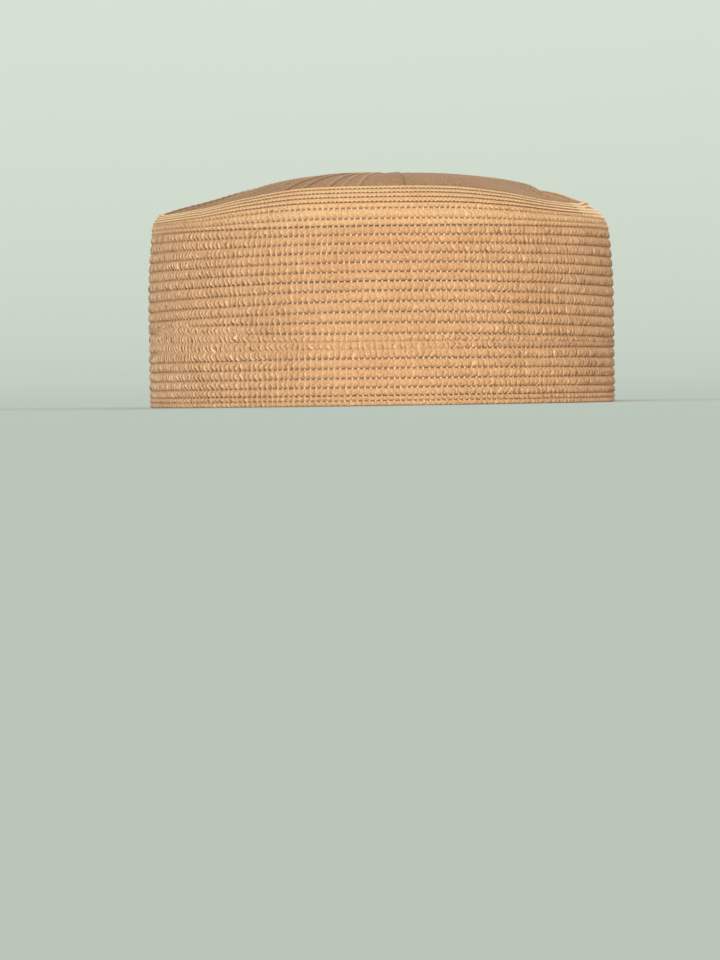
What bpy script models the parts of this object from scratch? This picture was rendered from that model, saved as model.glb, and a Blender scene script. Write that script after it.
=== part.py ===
"""Kufi cap: a brimless round cap of cloth stitched in rows over cord, closed by a tucked cloth crown.

Metres, +Z up. The cap rests on its hem at z = 0, its front faces -Y, and the Z axis runs up its middle.
Every piece is a closed section spun round the axis in rows and depths, and then laid on the cap's own surface:
a row number counts corded rows upwards from the top of the hem, and a depth runs inwards from the outer cloth.
"""
import math
from collections import namedtuple

import bmesh
import bpy
from mathutils import Vector

# Driving sizes of the whole cap
CAP_WIDTH = 0.184
CAP_LENGTH = 0.196
WALL_THICKNESS = 0.0025
SEAM_GAP = 0.0003

# Hem: narrow rows round the opening, rolled under at the edge
HEM_HEIGHT = 0.0038
HEM_ROWS = 2
HEM_ROLL = 0.0006

# Side band: wide corded rows between lines of stitching, and one row more at the front than elsewhere
ROW_HEIGHT = 0.00377
BAND_ROWS = 17
FRONT_MIDDLE_DEGREES = -92.0
FRONT_REACH_DEGREES = 78.0
BACK_BLEND = 0.35
BAND_LEAN = 0.0016
BAND_LEAN_START = 0.6
GROOVE_DEPTH = 0.0008

# Rim: narrow corded rows that turn over the shoulder
RIM_ROWS = 7
RIM_HEIGHT = 0.0097
RIM_INSET = 0.0064
RIM_TURN_DEGREES = 60.0
RIM_SHIFT = -0.0018
RIM_LIFT = 0.0050
NARROW_GROOVE_DEPTH = 0.0007

# Crown: one round of cloth, tucked towards its middle
CROWN_RISE = 0.0130
CROWN_THICKNESS = 0.0016
CROWN_SEAT_DEPTH = 0.0004
CROWN_MIDDLE_SHIFT = 0.006
TUCK_HEIGHT = 0.0009
TUCK_CREST = 0.72

# Mesh steps
STATIONS = 48
TUCKS = 48
SPIN_RADIUS = 1.0
TANGENT_STEP = 0.02
MERGE_DISTANCE = 0.000001

# Sizes that follow from the ones above
BAND_HEIGHT = ROW_HEIGHT * BAND_ROWS
SHOULDER_HEIGHT = HEM_HEIGHT + BAND_HEIGHT
BAND_TOP_ROW = BAND_ROWS + 1
NARROWEST_ROW = 0.76 * ROW_HEIGHT
RIM_TOP_ROW = BAND_TOP_ROW + RIM_ROWS
CROWN_TOP_HEIGHT = SHOULDER_HEIGHT + RIM_HEIGHT + CROWN_RISE

# The rim waves round the cap: it is folded flat at both sides, arched at the front and higher at the back.
# Azimuth 0 is the right-hand side and -90 the front; each lift is a share of RIM_LIFT.
RimPoint = namedtuple("RimPoint", "azimuth_degrees lift_share")
RIM_WAVE = [
    RimPoint(-180, -0.2),
    RimPoint(-160, -0.35),
    RimPoint(-140, -0.15),
    RimPoint(-125, 0.45),
    RimPoint(-110, 0.9),
    RimPoint(-90, 1.0),
    RimPoint(-70, 0.95),
    RimPoint(-55, 0.65),
    RimPoint(-40, 0.2),
    RimPoint(-25, 0.0),
    RimPoint(0, 0.1),
    RimPoint(15, 0.7),
    RimPoint(30, 1.55),
    RimPoint(45, 2.1),
    RimPoint(60, 2.15),
    RimPoint(90, 1.7),
    RimPoint(120, 0.9),
    RimPoint(150, 0.3),
]

# Widths of the band's rows, upwards, at the middle of the front, at the left and at the right, in millimetres.
# The rows share BAND_HEIGHT in these proportions; two neighbours count as one row where the groove between them
# has run out, which happens at the right of the front for one groove and at its left for another.
RowWidth = namedtuple("RowWidth", "front left right")
ROW_WIDTHS = [
    RowWidth(3.1, 2.8, 2.8),
    RowWidth(3.4, 3.4, 3.4),
    RowWidth(3.8, 3.5, 3.5),
    RowWidth(3.7, 3.6, 3.6),
    RowWidth(3.5, 3.9, 3.8),
    RowWidth(3.0, 3.8, 2.0),
    RowWidth(2.9, 3.5, 1.9),
    RowWidth(4.2, 2.3, 3.9),
    RowWidth(4.0, 2.3, 3.8),
    RowWidth(4.0, 3.6, 4.0),
    RowWidth(4.0, 3.9, 3.8),
    RowWidth(3.7, 4.0, 3.9),
    RowWidth(3.5, 3.7, 3.7),
    RowWidth(3.6, 3.8, 3.8),
    RowWidth(3.6, 3.5, 3.6),
    RowWidth(3.5, 3.7, 3.8),
    RowWidth(3.3, 3.8, 3.5),
    RowWidth(3.3, 3.3, 3.4),
]
FadingGroove = namedtuple("FadingGroove", "row fade_start_degrees fade_degrees")
RIGHT_FADE = FadingGroove(6, 17.0, 7.0)
LEFT_FADE = FadingGroove(8, 45.0, 10.0)

# Across one row, the outline rises from a stitched groove over the cord and falls to the next groove.
RowPoint = namedtuple("RowPoint", "row_share groove_share")
WIDE_ROW = [RowPoint(0.0, 1.0), RowPoint(0.24, 0.0), RowPoint(0.76, 0.0)]
NARROW_ROW = [RowPoint(0.0, 1.0), RowPoint(0.3, 0.0), RowPoint(0.7, 0.0)]

# Rings of the crown from its edge to its middle: how far out each lies, and how high its tucks stand there.
CrownRing = namedtuple("CrownRing", "reach_share tuck_share")
CROWN_TOP_RINGS = [
    CrownRing(1.0, 0.5),
    CrownRing(0.88, 1.0),
    CrownRing(0.77, 0.95),
    CrownRing(0.66, 0.9),
    CrownRing(0.42, 0.7),
    CrownRing(0.18, 0.4),
]
CROWN_UNDER_RINGS = [
    CrownRing(1.0, 0.0),
    CrownRing(0.88, 0.0),
    CrownRing(0.77, 0.0),
    CrownRing(0.66, 0.0),
    CrownRing(0.3, 0.0),
]

# How the crown falls off from its middle: a round dome that dips a little before it meets the rim
FallOff = namedtuple("FallOff", "power dip dip_start")
RIGHT_FALL = FallOff(2.6, 0.31, 0.70)
LEFT_FALL = FallOff(2.2, 0.05, 0.60)
FRONT_FALL = FallOff(3.6, 0.0, 0.70)

# Finish of the two cloths: linear colour and roughness
Finish = namedtuple("Finish", "colour roughness")
GOLD_CLOTH = Finish((0.64, 0.39, 0.195), 0.72)
CROWN_CLOTH = Finish((0.46, 0.29, 0.165), 0.82)


def clear_scene():
    for thing in list(bpy.data.objects):
        bpy.data.objects.remove(thing)


def smooth_step(share):
    share = min(1.0, max(0.0, share))
    return share * share * (3.0 - 2.0 * share)


def rim_lift(azimuth):
    """Lift of the rim at an azimuth in radians, on one smooth closed curve through RIM_WAVE."""
    degrees = (math.degrees(azimuth) + 180.0) % 360.0 - 180.0
    count = len(RIM_WAVE)
    after = next((i for i, point in enumerate(RIM_WAVE) if point.azimuth_degrees > degrees), count)
    start = RIM_WAVE[after - 1]
    end = RIM_WAVE[after % count]
    span = (end.azimuth_degrees - start.azimuth_degrees) % 360.0
    share = (degrees - start.azimuth_degrees) / span
    before_start = RIM_WAVE[(after - 2) % count].lift_share
    after_end = RIM_WAVE[(after + 1) % count].lift_share
    leave = (end.lift_share - before_start) / 2.0
    arrive = (after_end - start.lift_share) / 2.0
    square = share * share
    cube = square * share
    curve = (2.0 * cube - 3.0 * square + 1.0) * start.lift_share
    curve += (cube - 2.0 * square + share) * leave
    curve += (3.0 * square - 2.0 * cube) * end.lift_share
    curve += (cube - square) * arrive
    return RIM_LIFT * curve


def degrees_from_front(azimuth):
    """Degrees between an azimuth and the middle of the front, whichever way is shorter."""
    return abs((math.degrees(azimuth) - FRONT_MIDDLE_DEGREES + 180.0) % 360.0 - 180.0)


def left_side(azimuth):
    """1 on the left half of the cap and 0 on the right half, with a blend between them."""
    return smooth_step(0.5 - math.cos(azimuth) / (2.0 * BACK_BLEND))


def row_width(azimuth, widths):
    """Width of one row at an azimuth, as a blend of its widths at the front, the left and the right."""
    front = smooth_step(1.0 - degrees_from_front(azimuth) / FRONT_REACH_DEGREES)
    left = left_side(azimuth)
    return front * widths.front + (1.0 - front) * (left * widths.left + (1.0 - left) * widths.right)


def row_height(azimuth, row):
    """Height of a point that lies so many rows above the hem, up to the shoulder."""
    if row < 0.0:
        return HEM_HEIGHT * (1.0 + row / HEM_ROWS)
    widths = [row_width(azimuth, widths) for widths in ROW_WIDTHS]
    climbed = sum(width * min(1.0, max(0.0, row - number)) for number, width in enumerate(widths))
    return HEM_HEIGHT + BAND_HEIGHT * climbed / sum(widths)


def groove_presence(azimuth, row):
    """Share of its depth that a groove keeps at an azimuth; two of them fade out."""
    left = left_side(azimuth)
    for fade, side in ((RIGHT_FADE, 1.0 - left), (LEFT_FADE, left)):
        if fade.row == round(row, 3):
            away = degrees_from_front(azimuth) - fade.fade_start_degrees
            return 1.0 - side * smooth_step(away / fade.fade_degrees)
    return 1.0


def outline(azimuth, row):
    """Inset from the cap's widest plan outline, and height, of the outer cloth at a row."""
    if row <= BAND_TOP_ROW:
        height = row_height(azimuth, row)
        lean = max(0.0, (height / SHOULDER_HEIGHT - BAND_LEAN_START) / (1.0 - BAND_LEAN_START))
        return BAND_LEAN * lean * lean, height
    turn = math.radians(RIM_TURN_DEGREES)
    angle = turn * (row - BAND_TOP_ROW) / RIM_ROWS
    inset = BAND_LEAN + RIM_INSET * (1.0 - math.cos(angle)) / (1.0 - math.cos(turn))
    rise = (RIM_HEIGHT + rim_lift(azimuth)) * math.sin(angle) / math.sin(turn)
    return inset, SHOULDER_HEIGHT + rise


def cloth_directions(azimuth, row):
    """Upward run and outward normal of the cloth, each as (outwards, upwards)."""
    low = outline(azimuth, max(-HEM_ROWS, row - TANGENT_STEP))
    high = outline(azimuth, min(RIM_TOP_ROW, row + TANGENT_STEP))
    run = Vector((low[0] - high[0], high[1] - low[1])).normalized()
    return run, Vector((run.y, -run.x))


def place(azimuth, row, depth, onwards=0.0):
    """Point on the cap at an azimuth and row, so deep under the outer cloth and so far on along it."""
    inset, height = outline(azimuth, row)
    run, normal = cloth_directions(azimuth, row)
    outwards = -inset - depth * normal.x + onwards * run.x
    upwards = height - depth * normal.y + onwards * run.y
    shift = RIM_SHIFT * smooth_step((height - SHOULDER_HEIGHT) / RIM_HEIGHT)
    cosine = math.cos(azimuth)
    sine = math.sin(azimuth)
    x = (CAP_WIDTH / 2.0 + outwards) * cosine + shift
    y = (CAP_LENGTH / 2.0 + outwards) * sine
    return Vector((x, y, upwards))


def spin_section(section, closed, steps):
    """Mesh of a section, given as (radius, height) points, spun once round the Z axis."""
    mesh = bmesh.new()
    points = [mesh.verts.new((radius, 0.0, height)) for radius, height in section]
    edges = [mesh.edges.new(pair) for pair in zip(points, points[1:])]
    if closed:
        edges.append(mesh.edges.new((points[-1], points[0])))
    bmesh.ops.spin(
        mesh,
        geom=points + edges,
        cent=(0.0, 0.0, 0.0),
        axis=(0.0, 0.0, 1.0),
        angle=2.0 * math.pi,
        steps=steps,
        use_merge=True,
    )
    return mesh


def finish_piece(name, mesh, finish):
    """Turns a mesh into a named object with faces pointing out and its own cloth finish."""
    bmesh.ops.remove_doubles(mesh, verts=mesh.verts, dist=MERGE_DISTANCE)
    bmesh.ops.recalc_face_normals(mesh, faces=mesh.faces)
    data = bpy.data.meshes.new(name)
    mesh.to_mesh(data)
    mesh.free()
    data.shade_smooth()
    data.set_sharp_from_angle(angle=math.radians(30.0))
    data.materials.append(cloth_material(name, finish))
    piece = bpy.data.objects.new(name, data)
    bpy.context.scene.collection.objects.link(piece)
    return piece


def cloth_material(name, finish):
    material = bpy.data.materials.new(name)
    material.use_nodes = True
    shader = material.node_tree.nodes["Principled BSDF"]
    shader.inputs["Base Color"].default_value = (*finish.colour, 1.0)
    shader.inputs["Roughness"].default_value = finish.roughness
    shader.inputs["Metallic"].default_value = 0.0
    return material


def row_outline(first_row, rows, row_points, groove_depth):
    """Outer side of so many rows, upwards, as (row, depth) points from groove to groove."""
    points = []
    for row in range(rows):
        for point in row_points:
            points.append((first_row + row + point.row_share, groove_depth * point.groove_share))
    points.append((first_row + rows, groove_depth))
    return points


def trimmed(points, bottom_row, top_row):
    """The same outline with its two ends drawn in to leave a seam gap."""
    return [(min(top_row, max(bottom_row, row)), depth) for row, depth in points]


def sewn_ring(name, outer_side, inner_rows, finish):
    """Ring of cloth between its outer side and a plain inner side at the wall's full thickness."""
    section = outer_side + [(row, WALL_THICKNESS) for row in inner_rows]
    mesh = spin_section([(SPIN_RADIUS - depth, row) for row, depth in section], True, STATIONS)
    for corner in mesh.verts:
        azimuth = math.atan2(corner.co.y, corner.co.x)
        row = corner.co.z
        depth = SPIN_RADIUS - corner.co.xy.length
        if depth < WALL_THICKNESS / 2.0:
            depth *= groove_presence(azimuth, row)
        corner.co = place(azimuth, row, depth)
    return finish_piece(name, mesh, finish)


def hem_cords():
    top = -HEM_ROWS * SEAM_GAP / 2.0 / HEM_HEIGHT
    side = row_outline(-HEM_ROWS, HEM_ROWS, NARROW_ROW, NARROW_GROOVE_DEPTH)
    side[0] = (-HEM_ROWS, HEM_ROLL)
    return sewn_ring("hem_cords", trimmed(side, -HEM_ROWS, top), [top, -HEM_ROWS], GOLD_CLOTH)


def side_band():
    bottom = SEAM_GAP / 2.0 / NARROWEST_ROW
    top = BAND_TOP_ROW - bottom
    side = row_outline(0, BAND_TOP_ROW, WIDE_ROW, GROOVE_DEPTH)
    inner = [top, BAND_TOP_ROW * 0.8, BAND_TOP_ROW * 0.6, RIGHT_FADE.row, bottom]
    return sewn_ring("side_band", trimmed(side, bottom, top), inner, GOLD_CLOTH)


def rim_cords():
    bottom = BAND_TOP_ROW + RIM_ROWS * SEAM_GAP / 2.0 / RIM_HEIGHT
    side = row_outline(BAND_TOP_ROW, RIM_ROWS, NARROW_ROW, NARROW_GROOVE_DEPTH)
    inner = [RIM_TOP_ROW, BAND_TOP_ROW + RIM_ROWS * 0.6, bottom]
    return sewn_ring("rim_cords", trimmed(side, bottom, RIM_TOP_ROW), inner, GOLD_CLOTH)


def rim_edge(azimuth, depth):
    """Point a seam gap inside the rim's inner edge, on the straight run between two of its stations."""
    step = 2.0 * math.pi / STATIONS
    station = math.floor(azimuth / step)
    share = azimuth / step - station
    start = place(station * step, RIM_TOP_ROW, depth, SEAM_GAP)
    end = place((station + 1) * step, RIM_TOP_ROW, depth, SEAM_GAP)
    return start.lerp(end, share)


def crown_fall(azimuth, reach):
    """Share of the crown's height that is lost at a reach, 0 at its middle and 1 at its edge."""
    right = 0.5 + 0.5 * math.cos(azimuth)
    front = smooth_step((-math.sin(azimuth) - 0.3) / 0.6)
    sides = (left + (there - left) * right for left, there in zip(LEFT_FALL, RIGHT_FALL))
    power, dip, start = (side + (ahead - side) * front for side, ahead in zip(sides, FRONT_FALL))
    window = min(1.0, max(0.0, (reach - start) / (1.0 - start)))
    return reach**power + dip * math.sin(math.pi * window) ** 2


def crown_point(azimuth, reach, depth, lift):
    """Point of the crown, from its middle at reach 0 to its sewn edge at reach 1."""
    middle = Vector((CROWN_MIDDLE_SHIFT, 0.0, CROWN_TOP_HEIGHT))
    if reach == 1.0:
        return rim_edge(azimuth, CROWN_SEAT_DEPTH + depth) + Vector((0.0, 0.0, lift))
    edge = rim_edge(azimuth, CROWN_SEAT_DEPTH)
    point = middle.lerp(edge, reach)
    point.z = middle.z - (middle.z - edge.z) * crown_fall(azimuth, reach) - depth + lift
    return point


def crown_panel():
    """Domed round of cloth, whose top rises gently and falls quickly across each tuck."""
    over = [(ring.reach_share, 0.0) for ring in reversed(CROWN_TOP_RINGS)]
    under = [(ring.reach_share, -CROWN_THICKNESS) for ring in CROWN_UNDER_RINGS]
    section = [(0.0, 0.0)] + over + under + [(0.0, -CROWN_THICKNESS)]
    mesh = spin_section(section, False, 2 * TUCKS)
    tuck_shares = {round(ring.reach_share, 3): ring.tuck_share for ring in CROWN_TOP_RINGS}
    half_tuck = math.pi / TUCKS
    for corner in mesh.verts:
        reach = round(corner.co.xy.length, 3)
        on_top = corner.co.z > -CROWN_THICKNESS / 2.0
        fold = round(math.atan2(corner.co.y, corner.co.x) / half_tuck)
        crest = fold % 2 == 1
        azimuth = (fold - 1 + 2.0 * TUCK_CREST if crest else fold) * half_tuck
        lift = TUCK_HEIGHT * tuck_shares.get(reach, 0.0) if crest and on_top else 0.0
        corner.co = crown_point(azimuth, reach, -corner.co.z, lift)
    return finish_piece("crown_panel", mesh, CROWN_CLOTH)


def build_cap():
    clear_scene()
    hem_cords()
    side_band()
    rim_cords()
    crown_panel()


build_cap()
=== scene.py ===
import math
from collections import namedtuple
from functools import partial

import bmesh
import bpy
import numpy as np
from mathutils import Matrix, Vector


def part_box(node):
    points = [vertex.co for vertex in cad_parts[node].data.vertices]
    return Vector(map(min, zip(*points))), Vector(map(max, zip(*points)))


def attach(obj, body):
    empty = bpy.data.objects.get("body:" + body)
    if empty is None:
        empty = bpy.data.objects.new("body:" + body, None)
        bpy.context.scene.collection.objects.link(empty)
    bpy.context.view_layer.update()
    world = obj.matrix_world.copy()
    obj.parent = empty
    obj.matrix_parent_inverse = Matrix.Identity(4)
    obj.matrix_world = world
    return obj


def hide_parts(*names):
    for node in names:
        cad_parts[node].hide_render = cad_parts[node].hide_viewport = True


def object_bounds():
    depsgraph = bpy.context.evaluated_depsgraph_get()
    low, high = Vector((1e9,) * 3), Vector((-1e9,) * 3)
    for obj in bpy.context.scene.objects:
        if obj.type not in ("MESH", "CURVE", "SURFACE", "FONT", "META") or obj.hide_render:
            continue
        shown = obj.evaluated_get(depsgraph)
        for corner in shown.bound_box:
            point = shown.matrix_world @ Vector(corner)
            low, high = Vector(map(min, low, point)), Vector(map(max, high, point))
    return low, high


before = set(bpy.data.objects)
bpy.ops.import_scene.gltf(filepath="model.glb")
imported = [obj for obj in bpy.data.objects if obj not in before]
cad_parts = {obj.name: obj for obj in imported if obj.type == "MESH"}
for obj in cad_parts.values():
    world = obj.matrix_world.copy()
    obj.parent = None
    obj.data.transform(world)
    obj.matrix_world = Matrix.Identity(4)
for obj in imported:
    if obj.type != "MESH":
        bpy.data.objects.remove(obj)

CAD_LOW, CAD_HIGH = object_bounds()
BODY = "root"

# Added to SEED, each key gives one kind of unevenness its own chance
SEED = 58
DRIFT_KEY = 40
WANDER_KEY = 100
BOW_KEY = 200
PULL_KEY = 300
PATCH_KEY = 400
STITCH_KEY = 500
TUCK_PLACE_KEY = 900
TUCK_STRENGTH_KEY = 901

# Waves round the cap that make up an unevenness
OWN_WAVES = (2, 5, 9)
DRIFT_WAVES = (3, 7, 11)
WANDER_WAVES = (4, 9, 17)
BOW_WAVES = (5, 11, 19)
PATCH_WAVES = (3, 8, 13)

# Plan and wall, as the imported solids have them
SEAM_GAP = 0.0003
CAP_WIDTH = CAD_HIGH.x - CAD_LOW.x
CAP_LENGTH = CAD_HIGH.y - CAD_LOW.y
HEM_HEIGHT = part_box("hem_cords")[1].z + SEAM_GAP / 2.0
SHOULDER_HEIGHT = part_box("side_band")[1].z + SEAM_GAP / 2.0
BAND_HEIGHT = SHOULDER_HEIGHT - HEM_HEIGHT
WALL_THICKNESS = 0.0025
TURN = 2.0 * math.pi
FRONT_DEGREES = -90.0
BROAD_FRONT_DEGREES = 55.0

# Rows of the hem, the side and the rim
HEM_ROWS = 2
BAND_TOP_ROW = 18
ROW_HEIGHT = BAND_HEIGHT / BAND_TOP_ROW
BAND_LEAN = 0.0016
BAND_LEAN_START = 0.6
RIM_ROWS = 7
RIM_TOP_ROW = BAND_TOP_ROW + RIM_ROWS
RIM_HEIGHT = 0.0097
RIM_INSET = 0.0064
RIM_TURN_DEGREES = 60.0
RIM_SHIFT = -0.0018
RIM_LIFT = 0.0050
RIM_GROOVES = (18.0, 19.05, 20.6, 21.55, 22.4, 23.25, 24.1, 25.0)

# Widths of the band's rows, upwards, at the middle of the front, at the left and at the right, in
# millimetres; they share the band's height in these proportions. Two of the grooves run out round the front.
FRONT_MIDDLE_DEGREES = -92.0
FRONT_REACH_DEGREES = 78.0
BACK_BLEND = 0.35
RowWidth = namedtuple("RowWidth", "front left right")
ROW_WIDTHS = [
    RowWidth(3.1, 2.8, 2.8),
    RowWidth(3.4, 3.4, 3.4),
    RowWidth(3.8, 3.5, 3.5),
    RowWidth(3.7, 3.6, 3.6),
    RowWidth(3.5, 3.9, 3.8),
    RowWidth(3.0, 3.8, 2.0),
    RowWidth(2.9, 3.5, 1.9),
    RowWidth(4.2, 2.3, 3.9),
    RowWidth(4.0, 2.3, 3.8),
    RowWidth(4.0, 3.6, 4.0),
    RowWidth(4.0, 3.9, 3.8),
    RowWidth(3.7, 4.0, 3.9),
    RowWidth(3.5, 3.7, 3.7),
    RowWidth(3.6, 3.8, 3.8),
    RowWidth(3.6, 3.5, 3.6),
    RowWidth(3.5, 3.7, 3.8),
    RowWidth(3.3, 3.8, 3.5),
    RowWidth(3.3, 3.3, 3.4),
]
FadingGroove = namedtuple("FadingGroove", "row fade_start_degrees fade_degrees")
RIGHT_FADE = FadingGroove(6, 17.0, 7.0)
LEFT_FADE = FadingGroove(8, 45.0, 10.0)

# Grooves that are sewn loosely over a stretch: shallow, and without a thread in sight
LooseStretch = namedtuple("LooseStretch", "row middle_degrees reach_degrees")
LOOSE_STRETCHES = [
    LooseStretch(5, -117.0, 50.0),
    LooseStretch(6, -115.0, 60.0),
    LooseStretch(7, -143.0, 24.0),
]
LOOSE_TAPER_DEGREES = 9.0
LOOSE_SHARE = 0.65
LOOSE_CREASES = 0.2

# The rim waves round the cap; each lift is a share of RIM_LIFT
RimPoint = namedtuple("RimPoint", "azimuth_degrees lift_share")
RIM_WAVE = [
    RimPoint(-180, -0.2),
    RimPoint(-160, -0.35),
    RimPoint(-140, -0.1),
    RimPoint(-125, 0.55),
    RimPoint(-110, 1.1),
    RimPoint(-90, 1.2),
    RimPoint(-70, 1.15),
    RimPoint(-55, 0.75),
    RimPoint(-40, 0.2),
    RimPoint(-25, 0.0),
    RimPoint(0, 0.1),
    RimPoint(15, 0.7),
    RimPoint(30, 1.55),
    RimPoint(45, 2.1),
    RimPoint(60, 2.15),
    RimPoint(90, 1.7),
    RimPoint(120, 0.9),
    RimPoint(150, 0.3),
]

# Where the rim is folded at each side, its top rows stand off as a small lip
Lip = namedtuple("Lip", "azimuth_degrees spread_degrees outwards upwards")
LIPS = [Lip(-16.0, 3.5, 0.0008, 0.0015), Lip(-174.0, 4.0, 0.0004, 0.0008)]
LIP_START_ROW = 22.0

# Crown: one round of cloth, tucked towards its middle
CROWN_TOP_HEIGHT = SHOULDER_HEIGHT + RIM_HEIGHT + 0.0130
CROWN_THICKNESS = 0.0013
CROWN_SEAT_DEPTH = 0.0008
CROWN_MIDDLE_SHIFT = 0.006

# Stitching: each groove between two rows is one line of stitches
STITCHES_ROUND = 252
ZIGZAGS_ROUND = 336
COLUMNS_PER_STITCH = 6
COLUMNS = STITCHES_ROUND * COLUMNS_PER_STITCH
GROUP_DRIFT = 0.45
OWN_DRIFT = 0.16
GROOVE_WANDER = 0.03
MERGE_DISTANCE = 0.000001

# Relief of one row: how deep its grooves are, how strongly its stitches pucker it, how scalloped it is
Cord = namedtuple("Cord", "start end groove pucker scallop kind")
HEM_SCALLOP = 0.05
SIDE_SCALLOP = 0.02
WIDE_RIM_SCALLOP = 0.03
ARCH_SCALLOP = 0.1
WIDE_GROOVE = 0.00105
WIDE_PUCKER = 0.0004
NARROW_GROOVE = 0.00095
NARROW_PUCKER = 0.00016
OUTER_CLOTH = 0.0019
FULLEST_SHARE = 0.4
LOWER_SLOPE = 0.25
LOWER_POWER = 6
UPPER_SLOPE = 0.4
UPPER_POWER = 8
ACROSS_WIDE_ROW = (0.0, 0.07, 0.2, 0.4, 0.62, 0.82, 0.94)
ACROSS_NARROW_ROW = (0.0, 0.12, 0.35, 0.65, 0.88)
ARCH_SHADE = {0.0: 1.0, 0.12: 0.75, 0.35: 0.1, 0.65: 0.0, 0.88: 0.15, 1.0: 1.0}
ARCH_SHADE_MIDDLE_DEGREES = -85.0

# Puckers run up a row from each stitch, bowed towards the sides; the middle of the front lies smoothest
BOW_TO_SIDES = 0.75
BOW_UNEVENNESS = 0.2
CREST_SHARPNESS = 1.6
CREST_LEVEL = 0.4
UPPER_PUCKER = 0.3
PUCKER_FADE = 1.5
GROOVE_PUCKER_LOSS = 0.75
PULL_RANGE = (0.45, 1.35)
PATCHINESS = 0.3
SMOOTH_MIDDLE_DEGREES = -93.0
SMOOTH_REACH_DEGREES = 30.0
SMOOTHNESS = 0.72


def cords():
    """Every row from the hem's edge to the rim's top edge, upwards."""
    rows = []
    for row in range(-HEM_ROWS, 0):
        rows.append(Cord(row, row + 1, NARROW_GROOVE, NARROW_PUCKER, HEM_SCALLOP, "hem"))
    for row in range(BAND_TOP_ROW):
        rows.append(Cord(row, row + 1, WIDE_GROOVE, WIDE_PUCKER, SIDE_SCALLOP, "side"))
    for start, end in zip(RIM_GROOVES, RIM_GROOVES[1:]):
        wide = end - start > 1.0
        groove = WIDE_GROOVE if wide else NARROW_GROOVE
        scallop = WIDE_RIM_SCALLOP if wide else ARCH_SCALLOP
        rows.append(Cord(start, end, groove, NARROW_PUCKER, scallop, "rim"))
    return rows


CORDS = cords()
FIRST_SIDE_CORD = HEM_ROWS
FIRST_RIM_CORD = HEM_ROWS + BAND_TOP_ROW
FIRST_ZIGZAG = FIRST_RIM_CORD + 3


def smooth_step(share):
    share = np.clip(share, 0.0, 1.0)
    return share * share * (3.0 - 2.0 * share)


def degrees_from(azimuth, middle_degrees):
    """Signed degrees from a middle to each azimuth, the short way round."""
    return (np.degrees(azimuth) - middle_degrees + 180.0) % 360.0 - 180.0


def broad_front(azimuth, middle_degrees):
    """1 over the broad front round a middle, 0 at the sides and the back."""
    return np.exp(-((degrees_from(azimuth, middle_degrees) / BROAD_FRONT_DEGREES) ** 4))


def slow_wave(azimuth, key, waves=OWN_WAVES):
    """Unevenness between about -1 and 1 that closes on itself round the cap; each key has its own."""
    chance = np.random.default_rng(SEED + key)
    total = np.zeros_like(azimuth)
    for count in waves:
        total += chance.uniform(0.5, 1.0) * np.sin(count * azimuth + chance.uniform(0.0, TURN))
    return total / len(waves)


def rim_lift(azimuth):
    """Lift of the rim on one smooth closed curve through RIM_WAVE."""
    stops = np.array([point.azimuth_degrees for point in RIM_WAVE], float)
    lifts = np.array([point.lift_share for point in RIM_WAVE])
    count = len(RIM_WAVE)
    degrees = degrees_from(azimuth, 0.0)
    after = np.searchsorted(stops, degrees, side="right")
    start = after - 1
    end = after % count
    share = (degrees - stops[start]) / ((stops[end] - stops[start]) % 360.0)
    leave = (lifts[end] - lifts[start - 1]) / 2.0
    arrive = (lifts[(after + 1) % count] - lifts[start]) / 2.0
    square = share**2
    cube = share**3
    curve = (2.0 * cube - 3.0 * square + 1.0) * lifts[start] + (cube - 2.0 * square + share) * leave
    curve += (3.0 * square - 2.0 * cube) * lifts[end] + (cube - square) * arrive
    return RIM_LIFT * curve


def left_side(azimuth):
    """1 on the left half of the cap and 0 on the right half, with a blend between them."""
    return smooth_step(0.5 - np.cos(azimuth) / (2.0 * BACK_BLEND))


def row_height(azimuth, row):
    """Height of a point that lies so many rows above the hem, up to the shoulder."""
    front = smooth_step(1.0 - np.abs(degrees_from(azimuth, FRONT_MIDDLE_DEGREES)) / FRONT_REACH_DEGREES)
    left = left_side(azimuth)
    climbed = 0.0
    total = 0.0
    for number, widths in enumerate(ROW_WIDTHS):
        sides = left * widths.left + (1.0 - left) * widths.right
        width = front * widths.front + (1.0 - front) * sides
        climbed = climbed + width * np.clip(row - number, 0.0, 1.0)
        total = total + width
    above = HEM_HEIGHT + BAND_HEIGHT * climbed / total
    return np.where(row < 0.0, HEM_HEIGHT * (1.0 + row / HEM_ROWS), above)


def faded(azimuth, row):
    """1 where a groove of the side has run out between two rows that became one, 0 where it is whole."""
    left = left_side(azimuth)
    away = np.abs(degrees_from(azimuth, FRONT_MIDDLE_DEGREES))
    for fade, side in ((RIGHT_FADE, 1.0 - left), (LEFT_FADE, left)):
        if fade.row == row:
            return side * smooth_step((away - fade.fade_start_degrees) / fade.fade_degrees)
    return np.zeros_like(azimuth)


def looseness(azimuth, row):
    """1 where a groove is sewn loosely, 0 where its threads hold it tight."""
    loose = np.zeros_like(azimuth)
    for stretch in LOOSE_STRETCHES:
        if stretch.row == row:
            away = np.abs(degrees_from(azimuth, stretch.middle_degrees))
            loose = smooth_step((stretch.reach_degrees - away) / LOOSE_TAPER_DEGREES)
    return loose


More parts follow.
